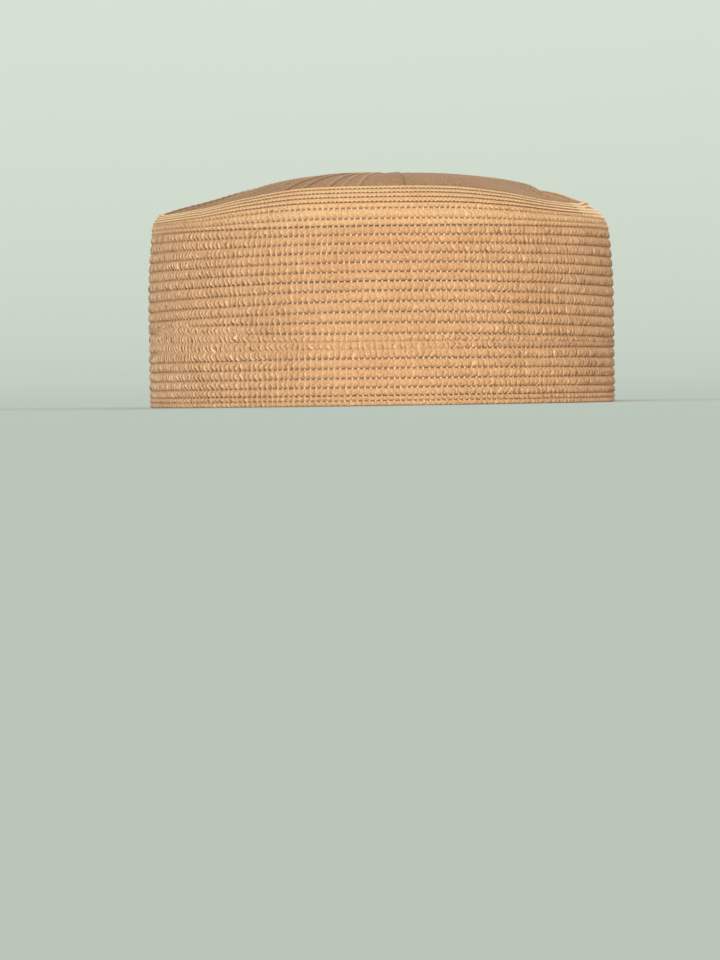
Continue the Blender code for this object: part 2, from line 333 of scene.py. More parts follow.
def outline(azimuth, row):
    """Inset from the cap's widest plan outline, and height, of the outer cloth at a row."""
    side_height = row_height(azimuth, np.minimum(row, BAND_TOP_ROW))
    lean = (side_height / SHOULDER_HEIGHT - BAND_LEAN_START) / (1.0 - BAND_LEAN_START)
    lean = np.clip(lean, 0.0, 1.0)
    turn = math.radians(RIM_TURN_DEGREES)
    angle = turn * np.clip(row - BAND_TOP_ROW, 0.0, None) / RIM_ROWS
    rim_inset = RIM_INSET * (1.0 - np.cos(angle)) / (1.0 - math.cos(turn))
    rise = (RIM_HEIGHT + rim_lift(azimuth)) * np.sin(angle) / math.sin(turn)
    return BAND_LEAN * lean**2 + rim_inset, side_height + rise


def cloth_directions(azimuth, row):
    """Upward run and outward normal of the cloth, each as a pair (outwards, upwards)."""
    step = 0.02
    low_inset, low_height = outline(azimuth, np.maximum(row - step, -HEM_ROWS))
    high_inset, high_height = outline(azimuth, np.minimum(row + step, RIM_TOP_ROW))
    outwards = low_inset - high_inset
    upwards = high_height - low_height
    length = np.hypot(outwards, upwards)
    outwards /= length
    upwards /= length
    return (outwards, upwards), (upwards, -outwards)


def place(azimuth, row, depth, onwards=0.0):
    """Points on the cap at azimuths and rows, so deep under the outer cloth and so far on along it."""
    inset, height = outline(azimuth, row)
    run, normal = cloth_directions(azimuth, row)
    outwards = -inset - depth * normal[0] + onwards * run[0]
    upwards = height - depth * normal[1] + onwards * run[1]
    for lip in LIPS:
        near = np.exp(-((degrees_from(azimuth, lip.azimuth_degrees) / lip.spread_degrees) ** 2))
        near *= smooth_step((row - LIP_START_ROW) / (RIM_TOP_ROW - LIP_START_ROW))
        outwards += lip.outwards * near
        upwards += lip.upwards * near
    shift = RIM_SHIFT * smooth_step((height - SHOULDER_HEIGHT) / RIM_HEIGHT)
    x = (CAP_WIDTH / 2.0 + outwards) * np.cos(azimuth) + shift
    y = (CAP_LENGTH / 2.0 + outwards) * np.sin(azimuth)
    return np.stack((x, y, upwards), axis=-1)


def stitches_round(groove):
    """The narrow rows of the rim are stitched closer than the others."""
    return ZIGZAGS_ROUND if groove >= FIRST_ZIGZAG else STITCHES_ROUND


def stitch_phase(azimuth, groove):
    """Stitches counted round one groove; whole numbers are where its thread shows."""
    drift = GROUP_DRIFT * slow_wave(azimuth, DRIFT_KEY + groove // 3, DRIFT_WAVES)
    drift += OWN_DRIFT * slow_wave(azimuth, groove)
    whole = azimuth / TURN * stitches_round(groove) + drift
    gone = faded(azimuth, groove - FIRST_SIDE_CORD)
    if not np.any(gone):
        return whole
    between = (stitch_phase(azimuth, groove - 1) + stitch_phase(azimuth, groove + 1)) / 2.0
    return whole + gone * (between - whole)


def groove_row(azimuth, groove):
    """Row position of a groove's bottom, wavering a little and scalloped between its stitches."""
    near = CORDS[min(groove, len(CORDS) - 1)]
    row = near.start if groove < len(CORDS) else near.end
    wander = GROOVE_WANDER * slow_wave(azimuth, WANDER_KEY + groove, WANDER_WAVES)
    scallop = near.scallop * np.cos(TURN * stitch_phase(azimuth, groove))
    held = 0.0 if groove in (0, len(CORDS)) else 1.0
    return row + held * (wander - scallop)


def rib_depth(share):
    """Cross-section of a cord in its cloth: 0 where it is fullest, 1 in the grooves; it sags a little."""
    below = np.clip((FULLEST_SHARE - share) / FULLEST_SHARE, 0.0, 1.0)
    above = np.clip((share - FULLEST_SHARE) / (1.0 - FULLEST_SHARE), 0.0, 1.0)
    lower = LOWER_SLOPE * below**2 + (1.0 - LOWER_SLOPE) * below**LOWER_POWER
    return lower + UPPER_SLOPE * above**2 + (1.0 - UPPER_SLOPE) * above**UPPER_POWER


def crease_strength(azimuth, cord_number):
    """How strongly the cloth of one row is creased; it lies smoother in the middle of the front."""
    patches = 1.0 + PATCHINESS * slow_wave(azimuth, PATCH_KEY + cord_number, PATCH_WAVES)
    middle = np.exp(-((degrees_from(azimuth, SMOOTH_MIDDLE_DEGREES) / SMOOTH_REACH_DEGREES) ** 2))
    low = looseness(azimuth, cord_number - FIRST_SIDE_CORD)
    high = looseness(azimuth, cord_number + 1 - FIRST_SIDE_CORD)
    return patches * (1.0 - SMOOTHNESS * middle) + LOOSE_CREASES * np.maximum(low, high)


def stitch_strength(cord_number, phase):
    """Each stitch pulls the cloth of a row as hard as it happens to."""
    count = stitches_round(cord_number)
    number = np.rint(phase).astype(int) % count
    return np.random.default_rng(SEED + PULL_KEY + cord_number).uniform(*PULL_RANGE, count)[number]


def row_relief(cord_number, azimuth, share):
    """Row position, depth, mask of painted shade in the grooves and stitch count of a row's outer cloth at a
    share across it.
    """
    cord = CORDS[cord_number]
    low = groove_row(azimuth, cord_number)
    high = groove_row(azimuth, cord_number + 1)
    row = low + (high - low) * share
    depth = np.full_like(azimuth, rib_depth(share))
    held = np.ones_like(azimuth)
    if cord.kind == "side":
        lower_half = faded(azimuth, cord.end)
        upper_half = faded(azimuth, cord.start)
        depth += lower_half * (rib_depth(share * 0.5) - rib_depth(share))
        depth += upper_half * (rib_depth(0.5 + share * 0.5) - rib_depth(share))
        held -= LOOSE_SHARE * looseness(azimuth, cord.start if share < 0.5 else cord.end)
    depth *= held
    # Painted shade: the deeper the cloth lies in a groove, the darker its colour is painted; the narrow rim
    # rows take ARCH_SHADE instead
    mask = np.clip(depth, 0.0, 1.0) ** 2 * held
    if cord_number >= FIRST_ZIGZAG or (cord_number == FIRST_ZIGZAG - 1 and share > 0.5):
        mask = ARCH_SHADE[share] * (0.5 + 0.5 * broad_front(azimuth, ARCH_SHADE_MIDDLE_DEGREES))
    low_phase = stitch_phase(azimuth, cord_number)
    same_count = stitches_round(cord_number) == stitches_round(cord_number + 1)
    high_phase = stitch_phase(azimuth, cord_number + 1) if same_count else low_phase
    bow = BOW_UNEVENNESS * slow_wave(azimuth, BOW_KEY + cord_number, BOW_WAVES)
    bow += BOW_TO_SIDES * np.cos(azimuth)
    phase = low_phase + (high_phase - low_phase) * share - 4.0 * bow * share * (1.0 - share)
    crest = (0.5 + 0.5 * np.cos(TURN * phase)) ** CREST_SHARPNESS
    spread = UPPER_PUCKER + (1.0 - UPPER_PUCKER) * (1.0 - share) ** PUCKER_FADE
    spread *= 1.0 - GROOVE_PUCKER_LOSS * rib_depth(share)
    pull = stitch_strength(cord_number, phase) * crease_strength(azimuth, cord_number)
    depth *= cord.groove
    depth += cord.pucker * spread * pull * (CREST_LEVEL - crest)
    return row, depth, mask, phase


def strip_of_cloth(columns, rows):
    """Flat grid of cloth, so many squares round the cap and so many lines of points across."""
    mesh = bmesh.new()
    bmesh.ops.create_grid(mesh, x_segments=columns, y_segments=rows - 1, size=0.5)
    data = bpy.data.meshes.new("strip")
    mesh.to_mesh(data)
    mesh.free()
    points = np.empty(len(data.vertices) * 3)
    data.vertices.foreach_get("co", points)
    points = points.reshape(-1, 3)
    column = np.rint((points[:, 0] + 0.5) * columns).astype(int)
    line = np.rint((points[:, 1] + 0.5) * (rows - 1)).astype(int)
    return data, column, line


def sew_up(name, data, points, cloth, stitches, groove, creased, material):
    """Lays a flat strip out on its points, sews its edges together and makes it a smooth piece."""
    data.vertices.foreach_set("co", points.astype(np.float32).ravel())
    corners = np.empty(len(data.loops), dtype=np.int32)
    data.loops.foreach_get("vertex_index", corners)
    while data.uv_layers:
        data.uv_layers.remove(data.uv_layers[0])
    for layer_name, pairs in (("cloth", cloth), ("stitches", stitches)):
        layer = data.uv_layers.new(name=layer_name)
        layer.data.foreach_set("uv", pairs[corners].astype(np.float32).ravel())
    # The groove mask says where the cloth's colour is darkened as painted shade in the grooves
    for mask_name, values in (("groove", groove), ("creased", creased)):
        mask = data.attributes.new(mask_name, "FLOAT", "POINT")
        mask.data.foreach_set("value", values.astype(np.float32))
    mesh = bmesh.new()
    mesh.from_mesh(data)
    edges = [corner for corner in mesh.verts if corner.is_boundary]
    bmesh.ops.remove_doubles(mesh, verts=edges, dist=MERGE_DISTANCE)
    bmesh.ops.recalc_face_normals(mesh, faces=mesh.faces)
    mesh.to_mesh(data)
    mesh.free()
    return finish_piece(name, data, material)


def finish_piece(name, data, material):
    data.name = name
    data.shade_smooth()
    data.materials.append(material)
    piece = bpy.data.objects.new(name, data)
    bpy.context.scene.collection.objects.link(piece)
    return piece


def cloth_place(azimuth, row):
    """Place of a point on its flat cloth, in metres, for the weave."""
    return np.stack((azimuth * CAP_LENGTH / 2.0, (row + HEM_ROWS) * ROW_HEIGHT), axis=-1)


def quilted_ring(name, first, last, across, back, material):
    """Ring of cloth rows from one cord to the next, closed behind by plain lines given as (row, depth)."""
    lines = [(number, share) for number in range(first, last) for share in across]
    lines.append((last - 1, 1.0))
    count = len(lines) + len(back) + 1
    data, column, line = strip_of_cloth(COLUMNS, count)
    azimuth = column / COLUMNS * TURN
    row, depth, groove, phase, across_rows, creased = np.zeros((6, len(column)))
    for index in range(count):
        here = line == index
        if index < len(lines) or index == count - 1:
            number, share = lines[index % (count - 1)]
            # groove gathers the mask of painted shade in the grooves
            row[here], depth[here], groove[here], phase[here] = row_relief(number, azimuth[here], share)
            across_rows[here] = number + share
            creased[here] = crease_strength(azimuth[here], number)
        else:
            row[here], depth[here] = back[index - len(lines)]
            across_rows[here] = last
    points = place(azimuth, row, depth)
    stitches = np.stack((phase, across_rows), axis=-1)
    return sew_up(name, data, points, cloth_place(azimuth, row), stitches, groove, creased, material)


# Kinds of socket on a shader group
COLOUR = "NodeSocketColor"
NUMBER = "NodeSocketFloat"
VECTOR = "NodeSocketVector"


def new_group(name, given, results):
    """Empty shader group; what it is given and what it results in are kinds of socket by their names."""
    group = bpy.data.node_groups.new(name, "ShaderNodeTree")
    for direction, sockets in (("INPUT", given), ("OUTPUT", results)):
        for socket_name, kind in sockets.items():
            group.interface.new_socket(name=socket_name, in_out=direction, socket_type=kind)
    inputs = group.nodes.new("NodeGroupInput").outputs
    outputs = group.nodes.new("NodeGroupOutput").inputs
    return group, inputs, outputs


def new_material(name):
    material = bpy.data.materials.new(name)
    material.use_nodes = True
    return material, material.node_tree.nodes, material.node_tree.links


def set_inputs(node, values):
    for socket_name, value in values.items():
        node.inputs[socket_name].default_value = value


def math_node(nodes, links, operation, first, second=None, third=None):
    node = nodes.new("ShaderNodeMath")
    node.operation = operation
    for socket, value in zip(node.inputs, (first, second, third)):
        if isinstance(value, (int, float)):
            socket.default_value = value
        elif value is not None:
            links.new(value, socket)
    return node.outputs[0]


# A mix node's sockets for its factor and its two colours, and the one of its mixed colour
MIX_SOCKETS = (0, 6, 7)
MIX_RESULT = 2


def mix_colour(nodes, links, factor, first, second, blend="MIX"):
    node = nodes.new("ShaderNodeMix")
    node.data_type = "RGBA"
    node.blend_type = blend
    for number, value in zip(MIX_SOCKETS, (factor, first, second)):
        if isinstance(value, float):
            node.inputs[number].default_value = value
        else:
            links.new(value, node.inputs[number])
    return node.outputs[MIX_RESULT]


def smooth_range(nodes, links, value, low, high):
    """0 below the low value, 1 above the high one, smooth between."""
    node = nodes.new("ShaderNodeMapRange")
    node.interpolation_type = "SMOOTHSTEP"
    set_inputs(node, {"From Min": low, "From Max": high})
    links.new(value, node.inputs["Value"])
    return node.outputs["Result"]


def noise_node(nodes, links, place, stretch, detail):
    """Noise over a place that is first stretched by so much each way."""
    mapping = nodes.new("ShaderNodeMapping")
    set_inputs(mapping, {"Scale": stretch})
    links.new(place, mapping.inputs["Vector"])
    noise = nodes.new("ShaderNodeTexNoise")
    set_inputs(noise, {"Scale": 1.0, "Detail": detail})
    links.new(mapping.outputs[0], noise.inputs["Vector"])
    return noise.outputs["Fac"]


# Distances from a stitch, in stitches, over which gaps, crests and hollows fade; chances for a crease
GAP_RANGE = (0.06, 0.24)
CREST_RANGE = (0.2, 0.03)
HOLLOW_RANGE = (0.24, 0.04)
CREASE_CHANCE_RANGE = (0.22, 0.52)
HOLLOW_OFFSET = 0.3


def crease_nodes(nodes, links, stitches):
    """Creases that run up from each stitch, the hollows between them, and the gaps between the stitches."""
    work = partial(math_node, nodes, links)
    ramp = partial(smooth_range, nodes, links)
    parts = nodes.new("ShaderNodeSeparateXYZ")
    links.new(stitches, parts.inputs[0])
    gap = ramp(work("PINGPONG", parts.outputs["X"], 0.5), *GAP_RANGE)
    up_row = work("FRACT", parts.outputs["Y"])
    low_part = work("POWER", work("SUBTRACT", 1.0, up_row), 1.2)
    reach = work("MULTIPLY_ADD", low_part, 0.85, 0.3)
    wander = noise_node(nodes, links, stitches, (0.7, 1.1, 1.0), 1.0)
    bent = work("MULTIPLY_ADD", wander, 1.5, parts.outputs["X"])
    crest = ramp(work("PINGPONG", bent, 0.5), *CREST_RANGE)
    hollow = ramp(work("PINGPONG", work("ADD", bent, HOLLOW_OFFSET), 0.5), *HOLLOW_RANGE)
    chance = noise_node(nodes, links, stitches, (1.1, 0.9, 3.0), 0.0)
    strength = work("MULTIPLY", ramp(chance, *CREASE_CHANCE_RANGE), reach)
    return work("MULTIPLY", crest, strength), work("MULTIPLY", hollow, strength), gap


# Where the tone is darker, in the painted shade of crease hollows as well as the cotton's own specks and
# patches, it turns redder too: how fast red, green and blue fall there
WARM_SHADE_POWERS = (0.85, 1.15, 1.45)


# How finely the cotton's fibres, specks and slow patches follow each other, per metre
FIBRE_STRETCH = (2400.0, 900.0, 1.0)
SPECK_STRETCH = (1300.0, 1300.0, 1300.0)
PATCH_STRETCH = (45.0, 45.0, 45.0)

COTTON_GIVEN = {
    "Cloth": VECTOR,
    "Stitches": VECTOR,
    "Place": VECTOR,
    "Tone": COLOUR,
    "Painted Groove Shade": COLOUR,
    "Groove": NUMBER,
    "Creased": NUMBER,
    "Thread Width": NUMBER,
    "Speckle": NUMBER,
    "Creases": NUMBER,
    "Gaps": NUMBER,
    "Roughness": NUMBER,
}
COTTON_RESULTS = {"Colour": COLOUR, "Roughness": NUMBER, "Height": NUMBER}


def quilted_cotton_group():
    """Plain woven cotton: threads both ways, fibres, slow tone changes, creases painted lighter on their
    crests and darker in their hollows, and painted shade in the grooves.
    """
    group, given, result = new_group("quilted cotton", COTTON_GIVEN, COTTON_RESULTS)
    nodes = group.nodes
    links = group.links
    work = partial(math_node, nodes, links)

    parts = nodes.new("ShaderNodeSeparateXYZ")
    links.new(given["Cloth"], parts.inputs[0])
    across = work("DIVIDE", parts.outputs["X"], given["Thread Width"])
    along = work("DIVIDE", parts.outputs["Y"], given["Thread Width"])
    warp = work("SINE", work("MULTIPLY", across, math.pi))
    weft = work("SINE", work("MULTIPLY", along, math.pi))
    weave = work("MULTIPLY", warp, weft)
    fibres = noise_node(nodes, links, given["Cloth"], FIBRE_STRETCH, 3.0)
    specks = noise_node(nodes, links, given["Place"], SPECK_STRETCH, 2.0)
    patches = noise_node(nodes, links, given["Place"], PATCH_STRETCH, 3.0)
    crest, hollow, gap = crease_nodes(nodes, links, given["Stitches"])
    creasing = work("MULTIPLY", given["Creased"], given["Creases"])
    crest = work("MULTIPLY", crest, creasing)
    hollow = work("MULTIPLY", hollow, creasing)

    fibre_tone = work("SUBTRACT", fibres, 0.5)
    fine = work("ADD", fibre_tone, work("SUBTRACT", specks, 0.5))
    fine = work("MULTIPLY", fine, given["Speckle"])
    tone = work("MULTIPLY_ADD", work("SUBTRACT", patches, 0.5), 0.35, 1.0)
    tone = work("ADD", tone, fine)
    tone = work("MULTIPLY_ADD", weave, 0.05, tone)
    # Painted highlight on the crease crests and painted shade in their hollows
    tone = work("MULTIPLY_ADD", crest, 0.9, tone)
    tone = work("MULTIPLY_ADD", hollow, -0.62, tone)
    tone = work("MAXIMUM", tone, 0.2)
    shade = nodes.new("ShaderNodeCombineXYZ")
    for socket, power in zip(shade.inputs, WARM_SHADE_POWERS):
        links.new(work("POWER", tone, power), socket)
    cloth_colour = mix_colour(nodes, links, 1.0, given["Tone"], shade.outputs[0], "MULTIPLY")
    # Painted shade in the grooves: full in the gaps between stitches, weaker where a stitch crosses
    closed = work("MULTIPLY", work("SUBTRACT", 1.0, gap), given["Gaps"])
    dark = work("MULTIPLY", given["Groove"], work("SUBTRACT", 1.0, closed))
    links.new(mix_colour(nodes, links, dark, cloth_colour, given["Painted Groove Shade"]), result["Colour"])

    height = work("MULTIPLY_ADD", weave, 0.15, fibres)
    height = work("MULTIPLY_ADD", specks, 0.8, height)
    height = work("MULTIPLY_ADD", crest, 1.6, height)
    height = work("MULTIPLY_ADD", hollow, -1.2, height)
    links.new(height, result["Height"])
    links.new(work("MULTIPLY_ADD", fibre_tone, 0.15, given["Roughness"]), result["Roughness"])
    return group


def group_material(name, group, bump_strength, bump_distance):
    """Material whose colour and relief a shader group works out from the place on the piece."""
    material, nodes, links = new_material(name)
    shader = nodes["Principled BSDF"]
    effect = nodes.new("ShaderNodeGroup")
    effect.node_tree = group
    coordinates = nodes.new("ShaderNodeTexCoord")
    bump = nodes.new("ShaderNodeBump")
    set_inputs(bump, {"Strength": bump_strength, "Distance": bump_distance})
    links.new(coordinates.outputs["Object"], effect.inputs["Place"])
    links.new(effect.outputs["Height"], bump.inputs["Height"])
    links.new(effect.outputs["Colour"], shader.inputs["Base Color"])
    links.new(bump.outputs["Normal"], shader.inputs["Normal"])
    return material, shader, effect


# What the cotton group is given for each cloth; the colour given for its grooves is painted shade
SIDE_COTTON = {
    "Tone": (0.73, 0.41, 0.202, 1.0),
    "Painted Groove Shade": (0.2, 0.085, 0.027, 1.0),
    "Thread Width": 0.0004,
    "Speckle": 0.75,
    "Creases": 1.0,
    "Gaps": 0.6,
    "Roughness": 0.8,
}
RIM_COTTON = {
    "Tone": (0.81, 0.485, 0.24, 1.0),
    "Painted Groove Shade": (0.24, 0.105, 0.035, 1.0),
    "Thread Width": 0.0004,
    "Speckle": 0.75,
    "Creases": 0.6,
    "Gaps": 1.0,
    "Roughness": 0.78,
}
# The crown's tone is partly its own darker brown cloth and partly painted shade on its upturned top
CROWN_COTTON = {
    "Tone": (0.415, 0.228, 0.108, 1.0),
    "Painted Groove Shade": (0.09, 0.042, 0.018, 1.0),
    "Thread Width": 0.0005,
    "Speckle": 1.7,
    "Creases": 0.12,
    "Gaps": 0.0,
    "Roughness": 0.85,
}
GOLDEN_SHEEN = 0.15
BROWN_SHEEN = 0.08
COTTON_BUMP = (0.8, 0.0003)


def cloth_material(name, group, cotton, sheen):
    """Cotton with its own tone, shade in the grooves, thread width, creases and nap."""
    material, shader, weave = group_material(name, group, *COTTON_BUMP)
    nodes = material.node_tree.nodes
    links = material.node_tree.links
    set_inputs(shader, {"Sheen Weight": sheen, "Sheen Roughness": 0.45, "Specular IOR Level": 0.25})
    set_inputs(weave, cotton)
    for socket_name in ("Cloth", "Stitches"):
        layer = nodes.new("ShaderNodeUVMap")
        layer.uv_map = socket_name.lower()
        links.new(layer.outputs["UV"], weave.inputs[socket_name])
    for socket_name in ("Groove", "Creased"):
        mask = nodes.new("ShaderNodeAttribute")
        mask.attribute_name = socket_name.lower()
        links.new(mask.outputs["Fac"], weave.inputs[socket_name])
    links.new(weave.outputs["Roughness"], shader.inputs["Roughness"])
    return material


THREAD_GIVEN = {"Place": VECTOR, "Light": COLOUR, "Dark": COLOUR, "Side Shade": COLOUR}
THREAD_RESULTS = {"Colour": COLOUR, "Height": NUMBER}

# Distances from the cap's middle plane over which its threads turn from their plied colours to a painted side
# shade
THREAD_SIDES = (0.02, 0.065)

# What the thread group is given for each thread; the colour given for the cap's sides is painted shade
PALE_THREAD = {
    "Light": (1.0, 0.9, 0.68, 1.0),
    "Dark": (0.85, 0.66, 0.42, 1.0),
    "Side Shade": (0.72, 0.46, 0.23, 1.0),
}
RIM_THREAD = {
    "Light": (1.0, 0.85, 0.58, 1.0),
    "Dark": (0.85, 0.62, 0.36, 1.0),
    "Side Shade": (0.95, 0.7, 0.42, 1.0),
}
GOLDEN_THREAD = {
    "Light": (0.85, 0.6, 0.35, 1.0),
    "Dark": (0.6, 0.4, 0.22, 1.0),
    "Side Shade": (0.7, 0.48, 0.27, 1.0),
}
BROWN_THREAD = {
    "Light": (0.9, 0.68, 0.46, 1.0),
    "Dark": (0.66, 0.46, 0.29, 1.0),
    "Side Shade": (0.5, 0.34, 0.2, 1.0),
}


def sewing_thread_group():
    """Thread whose plies show as fine bands; towards the cap's sides its colour turns to a painted shade, for
    the shade of the groove it lies deep in.
    """
    group, given, result = new_group("sewing thread", THREAD_GIVEN, THREAD_RESULTS)
    nodes = group.nodes
    links = group.links
    plies = nodes.new("ShaderNodeTexWave")
    set_inputs(plies, {"Scale": 900.0, "Distortion": 3.0})
    links.new(given["Place"], plies.inputs["Vector"])
    parts = nodes.new("ShaderNodeSeparateXYZ")
    links.new(given["Place"], parts.inputs[0])
    aside = math_node(nodes, links, "ABSOLUTE", parts.outputs["X"])
    aside = smooth_range(nodes, links, aside, *THREAD_SIDES)
    plied = mix_colour(nodes, links, plies.outputs["Fac"], given["Dark"], given["Light"])
    # Towards the sides the thread's colour is painted shade
    links.new(mix_colour(nodes, links, aside, plied, given["Side Shade"]), result["Colour"])
    links.new(plies.outputs["Fac"], result["Height"])
    return group


THREAD_BUMP = (0.4, 0.0001)


def thread_material(name, group, tones):
    material, shader, thread = group_material(name, group, *THREAD_BUMP)
    set_inputs(shader, {"Roughness": 0.55, "Sheen Weight": 0.2})
    set_inputs(thread, tones)
    return material


def stage_material(name, colour):
    """Pale matte paper, seen only from its upper side."""
    material, nodes, links = new_material(name)
    shader = nodes["Principled BSDF"]
    set_inputs(shader, {"Base Color": (*colour, 1.0), "Roughness": 0.95, "Specular IOR Level": 0.0})
    clear = nodes.new("ShaderNodeBsdfTransparent")
    choose = nodes.new("ShaderNodeMixShader")
    side = nodes.new("ShaderNodeNewGeometry")
    links.new(side.outputs["Backfacing"], choose.inputs[0])
    links.new(shader.outputs[0], choose.inputs[1])
    links.new(clear.outputs[0], choose.inputs[2])
    links.new(choose.outputs[0], nodes["Material Output"].inputs["Surface"])
    return material


# Roundness of a stitch, as rounds of points along it; a plump one is a small ball of triangles
PLUMP_STITCH = 5
FOLD_STITCH = 4
ARCH_STITCH = 3
FLAT_STITCH = 2


def one_stitch(rounds):
    """Corner points and triangles of a single short thread, one unit long each way."""
    mesh = bmesh.new()
    if rounds == PLUMP_STITCH:
        bmesh.ops.create_icosphere(mesh, subdivisions=1, radius=0.5)
    else:
        bmesh.ops.create_uvsphere(mesh, u_segments=4, v_segments=rounds, radius=0.5)
    bmesh.ops.triangulate(mesh, faces=mesh.faces)
    mesh.verts.ensure_lookup_table()
    points = np.array([corner.co for corner in mesh.verts])
    faces = np.array([[corner.index for corner in face.verts] for face in mesh.faces])
    mesh.free()
    return points, faces


def sew_stitches(name, middles, lengthwise, sideways, outwards, material, rounds=PLUMP_STITCH):
    """One mesh of many stitches; each has its middle and three half-turned edges as vectors."""
    points, faces = one_stitch(rounds)
    count = len(middles)
    spread = (
        points[None, :, 0:1] * sideways[:, None, :]
        + points[None, :, 1:2] * lengthwise[:, None, :]
        + points[None, :, 2:3] * outwards[:, None, :]
    )
    corners = (middles[:, None, :] + spread).reshape(-1, 3)
    triangles = (faces[None] + np.arange(count)[:, None, None] * len(points)).reshape(-1, 3)
    data = bpy.data.meshes.new(name)
    data.from_pydata(corners.tolist(), [], triangles.tolist())
    return finish_piece(name, data, material)


def unit(vectors):
    return vectors / np.linalg.norm(vectors, axis=-1, keepdims=True)


ThreadRun = namedtuple("ThreadRun", "depth sink length width thick slant_degrees offset raised")

# Hand of the sewing: how far stitches stray, as a share of their pitch, and how they vary in size and slant
STITCH_STRAY = 0.07
STITCH_SIZES = (0.85, 1.15)
SLANT_STRAY_DEGREES = 9.0

# Share of a loose or faded groove from which it counts as such
SLACK_LIMIT = 0.4

# Steps along the cloth and off it that give the directions at a point
STEP_ALONG = 0.002
STEP_OFF = 0.0005


def groove_stitches(groove, run, loose, fold):
    """Middles and edges of the stitches of one groove, either where it is sewn loosely or where it isn't."""
    fine = np.linspace(0.0, TURN, 4 * STITCHES_ROUND + 1)
    phase = stitch_phase(fine, groove)
    numbers = np.arange(math.ceil(phase[0]), math.ceil(phase[-1])) + run.offset
    azimuth = np.interp(numbers, phase, fine)
    chance = np.random.default_rng(SEED + STITCH_KEY + groove)
    azimuth = azimuth + chance.uniform(-STITCH_STRAY, STITCH_STRAY, len(azimuth)) * TURN / STITCHES_ROUND
    row_number = groove - FIRST_SIDE_CORD
    slack = looseness(azimuth, row_number) >= SLACK_LIMIT
    azimuth = azimuth[(slack == loose) & (faded(azimuth, row_number) < SLACK_LIMIT)]
    if fold:
        azimuth = azimuth[np.abs(degrees_from(azimuth, fold.azimuth_degrees)) < FOLD_STITCHES_DEGREES]
    row = groove_row(azimuth, groove)
    depth = run.depth + run.sink * (1.0 - broad_front(azimuth, FRONT_DEGREES))
    middles = place(azimuth, row, depth, run.raised)
    onwards = unit(place(azimuth + STEP_ALONG, row, depth) - place(azimuth - STEP_ALONG, row, depth))
    outwards = unit(place(azimuth, row, depth - STEP_OFF, run.raised) - middles)
    upwards = unit(np.cross(outwards, onwards))
    upwards *= np.sign(upwards[:, 2:3])
    stray = chance.uniform(-SLANT_STRAY_DEGREES, SLANT_STRAY_DEGREES, len(azimuth))
    slant = np.radians(run.slant_degrees + stray)[:, None]
    lengthwise = upwards * np.cos(slant) + onwards * np.sin(slant)
    sideways = onwards * np.cos(slant) - upwards * np.sin(slant)
    size = chance.uniform(*STITCH_SIZES, len(azimuth))[:, None]
    return middles, lengthwise * size * run.length, sideways * size * run.width, outwards * run.thick


def stitch_piece(name, grooves, runs, material, rounds=PLUMP_STITCH, loose=False, fold=None):
    parts = [groove_stitches(groove, run, loose, fold) for groove in grooves for run in runs]
    middles, lengthwise, sideways, outwards = (np.concatenate(part) for part in zip(*parts))
    return sew_stitches(name, middles, lengthwise, sideways, outwards, material, rounds)


def dress(piece, slot, *nodes):
    """Puts a finished piece on the cap and hides the solids it stands for; slot is not used."""
    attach(piece, BODY)
    if nodes:
        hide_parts(*nodes)


# The side's cloth as three rings from row to row; the top one leans, so its back follows the wall in steps
SideRing = namedtuple("SideRing", "name first last back_step")
SIDE_RINGS = (
    SideRing("side_rows_low", 0, 6, -6),
    SideRing("side_rows_mid", 6, 12, -6),
    SideRing("side_rows_top", 12, BAND_TOP_ROW, -2),
)


def side_rows(material):
    for side in SIDE_RINGS:
        back = [(row, OUTER_CLOTH) for row in range(side.last, side.first - 1, side.back_step)]
        first = FIRST_SIDE_CORD + side.first
        last = FIRST_SIDE_CORD + side.last
        ring = quilted_ring(side.name, first, last, ACROSS_WIDE_ROW, back, material)
        dress(ring, "side_cloth", "side_band")


RIM_BACK_ROWS = (25, 23, 21, 19, 18)


def rim_rows(material):
    back = [(row, OUTER_CLOTH) for row in RIM_BACK_ROWS]
    ring = quilted_ring("rim_rows", FIRST_RIM_CORD, len(CORDS), ACROSS_NARROW_ROW, back, material)
    dress(ring, "rim_cloth", "rim_cords")


# The hem's cloth rolls under its edge and up inside, given as (row, depth)
HEM_BACK = (
    (0.0, WALL_THICKNESS),
    (-1.0, WALL_THICKNESS + 0.0003),
    (-1.8, WALL_THICKNESS),
    (-2.0, OUTER_CLOTH),
)


def hem_rows(material):
    ring = quilted_ring("hem_rows", 0, HEM_ROWS, ACROSS_NARROW_ROW, HEM_BACK, material)
    dress(ring, "hem_cloth", "hem_cords")


# Inside: low ribs of cloth between the lines of stitching
INNER_COLUMNS = 378
INNER_LINES_BEHIND = 8
ACROSS_INNER_RIB = (0.0, 0.18, 0.5, 0.82)
INNER_GROOVE_DEPTH = WALL_THICKNESS - 0.0002
INNER_BACK_DEPTH = OUTER_CLOTH + 0.0001
INNER_RIB = 0.0005
INNER_PUCKER = 0.00006
INNER_SHADE = 0.6
INNER_CREASED = 0.5


